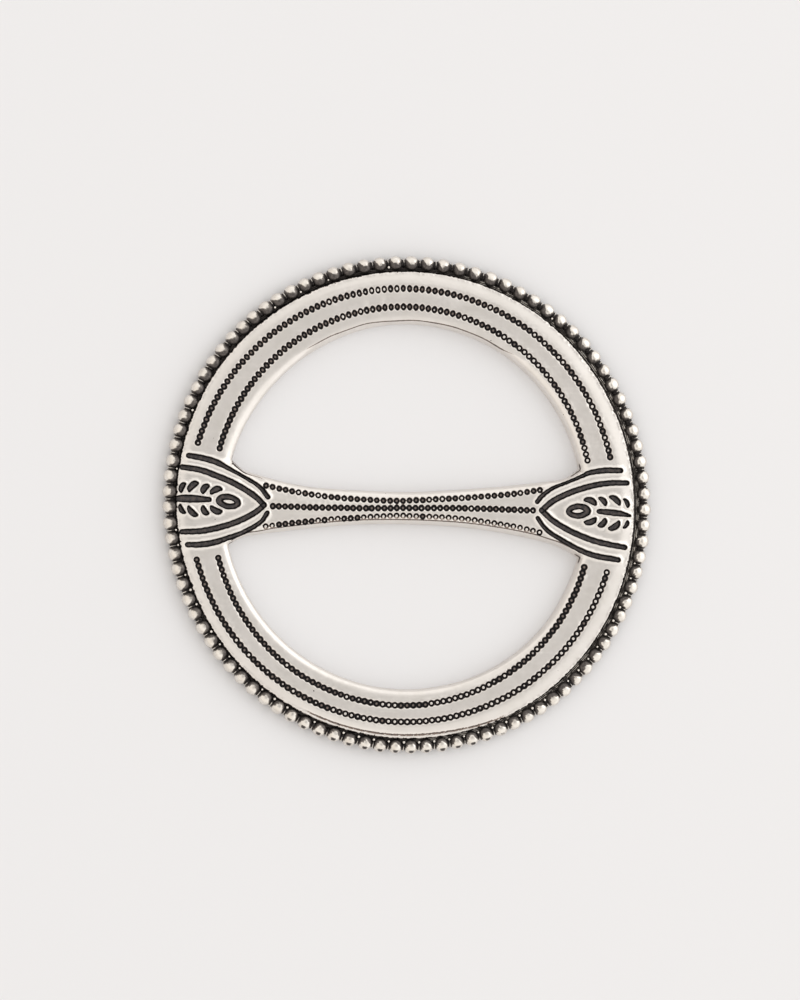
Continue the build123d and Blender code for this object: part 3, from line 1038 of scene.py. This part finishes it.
def buildBeads():
    parts = newParts()
    angles = beadAngles()
    ball, ballFaces = ballShape(24, 16)
    disc, discFaces = ballShape(20, 6)
    grain, grainFaces = ballShape(10, 6)
    halfCollar, collarRadius = wire["collar"]
    for i, angle in enumerate(angles):
        degrees = math.degrees(angle)
        size = wire["beadRadius"] * seed.normal(*wire["beadSize"])
        lumpy = sum(high * noiseAt(ball, wide, shift * i) for high, wide, shift in wire["lumps"])
        shape = ball * (size * (1 + lumpy))[:, None]
        lean = wire["topLean"] + float(windowSum(wire["facet"], degrees))
        top = wire["flatTop"] - lean * ball[:, 1] + 0.03 * ball[:, 2]
        shape[:, 2] = np.clip(shape[:, 2], 0.02 - wire["height"], top)
        radius = wire["radius"] + seed.normal(0, wire["outUneven"])
        addPart(parts, onWire(shape, angle, radius, wire["height"]), ballFaces, beadOxideAndPaintedLight(ball, degrees))
        # The collar between this bead and the next, dark but for its worn outer edge
        between = 0.5 * (angle + (angles[(i + 1) % len(angles)] - angle) % math.tau + angle)
        shape = disc * (halfCollar, collarRadius, collarRadius) * seed.normal(1, wire["collarUneven"])
        edge = disc[:, 1] + 0.1 * disc[:, 2] - 0.6 * np.abs(disc[:, 0])
        dark = 1 - 0.85 * smoothStep(-0.1, 0.4, edge + 0.7 * noiseAt(disc, 0.3, 1.3 * i))
        addPart(parts, onWire(shape, between, wire["radius"], wire["height"]), discFaces, dark)
        # A grain of bright solder in the corner there
        if seed.random() < wire["grainChance"] + float(windowSum(wire["moreGrains"], degrees)):
            radius, height = wire["grainPlace"]
            shape = grain * wire["grainRadius"] * seed.uniform(*wire["grainSize"])
            addPart(parts, onWire(shape, between, radius, height), grainFaces, np.zeros(len(grain)))
    # The core that the beads are rolled on
    section = wire["coreRadius"] * unitCircle(math.tau * np.arange(wire["coreSides"]) / wire["coreSides"])
    rows = [(wire["radius"] + out, wire["height"] + up, 1.0) for out, up in section]
    sweptRing(parts, rows, wire["coreSteps"], 1.0)
    return joinParts("beadedWire", parts, beadSilver)


beadedWire = buildBeads()


# Solder in the gutter between plate and beads, with two thin wavy ridges along it

gutter = {
    "radius": 31.6, "height": 1.22, "foot": 0.35,
    # where its section has points, from the middle
    "across": (-0.62, -0.42, -0.3, -0.24, -0.2, -0.15, -0.1, -0.05, 0.0, 0.04, 0.1, 0.18, 0.36, 0.62),
    "ridges": [(-0.2, 0.045, 0.22), (0.02, 0.055, 0.3)],     # place across, half width, height
    "wobble": 0.07, "wobblePeriod": 1.3,
    "lump": 0.05, "lumpPeriod": 0.55, "breakPeriod": 0.9,
    "ridgeHighlightSide": (355, 70, 20),    # window on the lit right side where the ridges get a painted highlight and the solder is painted less dark
    # how dark the solder is, how much less dark it is painted on the lit side, and the crests' painted
    # highlight
    "dark": 0.84, "lessDark": 0.14, "crestHighlight": 4.0,
    "steps": 1400, "driftShare": 0.6,
}


def buildSolder():
    turn = math.tau * np.arange(gutter["steps"]) / gutter["steps"]
    middle, across = gutter["radius"], gutter["across"]
    circle = unitCircle(turn) * middle
    wobble = gutter["wobble"] * noiseAt(circle, gutter["wobblePeriod"])
    lumps = noiseAt(circle, gutter["lumpPeriod"], 4.0)
    breaks = smoothStep(-0.25, 0.15, noiseAt(circle, gutter["breakPeriod"], 9.0))
    # painted light: brighter ridges and lighter solder on the lit right side
    ridgeHighlightSide = 0.12 + 0.88 * angleWindow(np.degrees(turn), *gutter["ridgeHighlightSide"])
    rows = []
    for off in across:
        crest = sum(high * peak(off - at, width) for at, width, high in gutter["ridges"])
        height = gutter["height"] + gutter["lump"] * lumps + crest * (1 + 0.5 * lumps)
        bright = gutter["crestHighlight"] * crest * ridgeHighlightSide * breaks * (0.8 + 0.5 * lumps)
        dark = gutter["dark"] - gutter["lessDark"] * ridgeHighlightSide - bright
        rows.append((middle + off + wobble, height, np.clip(dark, 0, 1)))
    rows += [(middle + off, gutter["foot"], 1.0) for off in (across[-1], across[0])]
    parts = newParts()
    sweptRing(parts, rows[::-1], gutter["steps"], gutter["driftShare"])
    return joinParts("solderSeam", parts, beadSilver)


solderSeam = buildSolder()

for piece in (engravedPlate, beadedWire, solderSeam):
    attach(piece, "root")
    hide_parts("scarf_ring")
print("ring built")


# Table, light and camera

studio = {
    "table": "#E6E6E8", "tableSize": 12.0,
    "overhead": ("#FFFCFA", 0.47),      # a dim patch of ceiling, which the flat metal mirrors
    "overheadFrom": (11.2, 13.4),       # degrees from straight up, and its side
    "overheadReach": (9, 26),
    "leftSide": ("#FFFAF4", 1.07),
    "rightSide": ("#FFFEFC", 1.12),
    "brightSide": 20,                   # degrees: the middle of the right side
    "sideBlend": (-0.6, 0.6),           # over which the left side goes over into it
    "horizon": (0.72, 1.25),            # how much of each side's light is left low down
    "horizonTop": 0.5,
}
softBoxes = [
    # name, side and height in degrees, distance and size in metres, power in watts, colour
    ("keySoftBox", 21, 36, 0.9, 0.85, 1.2, "#FFFEFC"),
]
camera = {
    "tilt": 11.2, "from": 192.0,         # degrees off straight above, and the picture's side it leans to
    "roll": -1.37,
    "distance": 2.0,
    "mmPerPixel": 0.1338, "centrePixel": (405.76, 504.51), "centreHeight": 1.85,
    "picture": (800, 1000), "sensor": 36.0,
}


def buildTable():
    # Matt painted board: an even pale ground without gloss
    half = studio["tableSize"] / 2
    corners = [(-half, -half, 0), (half, -half, 0), (half, half, 0), (-half, half, 0)]
    mesh = bpy.data.meshes.new("table")
    mesh.from_pydata(corners, [], [(0, 1, 2, 3)])
    table = bpy.data.objects.new("table", mesh)
    bpy.context.scene.collection.objects.link(table)
    material = bpy.data.materials.new("mattPaintedBoard")
    material.use_nodes = True
    shader = material.node_tree.nodes["Principled BSDF"]
    shader.inputs["Base Color"].default_value = hexToLinear(studio["table"])
    shader.inputs["Roughness"].default_value = 0.85
    shader.inputs["Specular IOR Level"].default_value = 0.2
    mesh.materials.append(material)


def lightColour(name):
    code, power = studio[name]
    return tuple(c * power for c in hexToLinear(code)[:3]) + (1,)


def towards(side, height):
    a, e = math.radians(side), math.radians(height)
    return Vector((math.cos(a) * math.cos(e), math.sin(a) * math.cos(e), math.sin(e)))


def buildSky():
    # A pale room. Its right side is a little brighter, most of all low down.
    world = bpy.data.worlds.new("studioRoom")
    bpy.context.scene.world = world
    world.use_nodes = True
    tree = world.node_tree
    tree.nodes.clear()
    direction = addNode(tree, "TexCoord", output="Generated")
    # How far a direction leans towards a side and height, from low to high, and what that gives
    share = {}
    bright, blend = studio["brightSide"], studio["sideBlend"]
    lean, side = studio["overheadFrom"]
    inner, outer = (math.cos(math.radians(reach)) for reach in studio["overheadReach"])
    for part, aim, low, high, atLow, atHigh, easing in (
        ("walls", towards(bright, 0), *blend, 0, 1, "LINEAR"),
        ("horizon", towards(bright, 0), *blend, *studio["horizon"], "LINEAR"),
        ("overhead", towards(side, 90 - lean), outer, inner, 0, 1, "SMOOTHSTEP"),
        ("up", towards(0, 90), 0, studio["horizonTop"], 0, 1, "LINEAR"),
    ):
        leaning = addNode(tree, "VectorMath", {"operation": "DOT_PRODUCT", 1: aim},
                          {0: direction}, "Value")
        share[part] = addNode(tree, "MapRange",
                              {"From Min": low, "From Max": high, "To Min": atLow, "To Max": atHigh,
                               "interpolation_type": easing}, {"Value": leaning}, "Result")
    walls = addNode(tree, "Mix",
                    {"data_type": "RGBA", 6: lightColour("leftSide"), 7: lightColour("rightSide")},
                    {0: share["walls"]}, 2)
    colour = addNode(tree, "Mix", {"data_type": "RGBA", 7: lightColour("overhead")},
                     {0: share["overhead"], 6: walls}, 2)
    strength = addNode(tree, "Mix", {"data_type": "FLOAT", 3: 1.0},
                       {0: share["up"], 2: share["horizon"]}, 0)
    background = addNode(tree, "Background", {}, {"Color": colour, "Strength": strength},
                         "Background")
    addNode(tree, "OutputWorld", {}, {"Surface": background})


def buildLights():
    for name, side, height, distance, size, power, colour in softBoxes:
        lamp = bpy.data.lights.new(name, "AREA")
        lamp.shape = "DISK"
        lamp.size = size
        lamp.energy = power
        lamp.color = hexToLinear(colour)[:3]
        at = towards(side, height) * distance
        box = bpy.data.objects.new(name, lamp)
        box.location = at
        box.rotation_euler = at.to_track_quat("Z", "Y").to_euler()
        box.visible_camera = False
        bpy.context.scene.collection.objects.link(box)


def buildCamera():
    data = bpy.data.cameras.new("camera")
    lens = bpy.data.objects.new("camera", data)
    bpy.context.scene.collection.objects.link(lens)
    width, height = camera["picture"]
    scale = camera["mmPerPixel"]
    data.sensor_width = camera["sensor"]
    data.lens = camera["sensor"] * camera["distance"] / (height * scale * mm)
    data.clip_start, data.clip_end = 0.05, 50
    roll = math.radians(camera["roll"])
    side = math.radians(camera["from"] - camera["roll"])
    across = Vector((math.sin(side), -math.cos(side), 0))       # the tilt turns about this line
    tilt = Matrix.Rotation(-math.radians(camera["tilt"]), 3, across)
    right = tilt @ Vector((math.cos(roll), -math.sin(roll), 0))
    up = tilt @ Vector((math.sin(roll), math.cos(roll), 0))
    back = tilt @ Vector((0, 0, 1))
    dx = (width / 2 - camera["centrePixel"][0]) * scale * mm
    dy = (camera["centrePixel"][1] - height / 2) * scale * mm
    at = Vector((0, 0, camera["centreHeight"] * mm)) + back * camera["distance"] + right * dx + up * dy
    turn = Matrix((right, up, back)).transposed()
    lens.matrix_world = Matrix.Translation(at) @ turn.to_4x4()
    bpy.context.scene.camera = lens


buildTable()
buildSky()
buildLights()
buildCamera()
bpy.context.scene.view_settings.view_transform = "Standard"
print("studio ready")
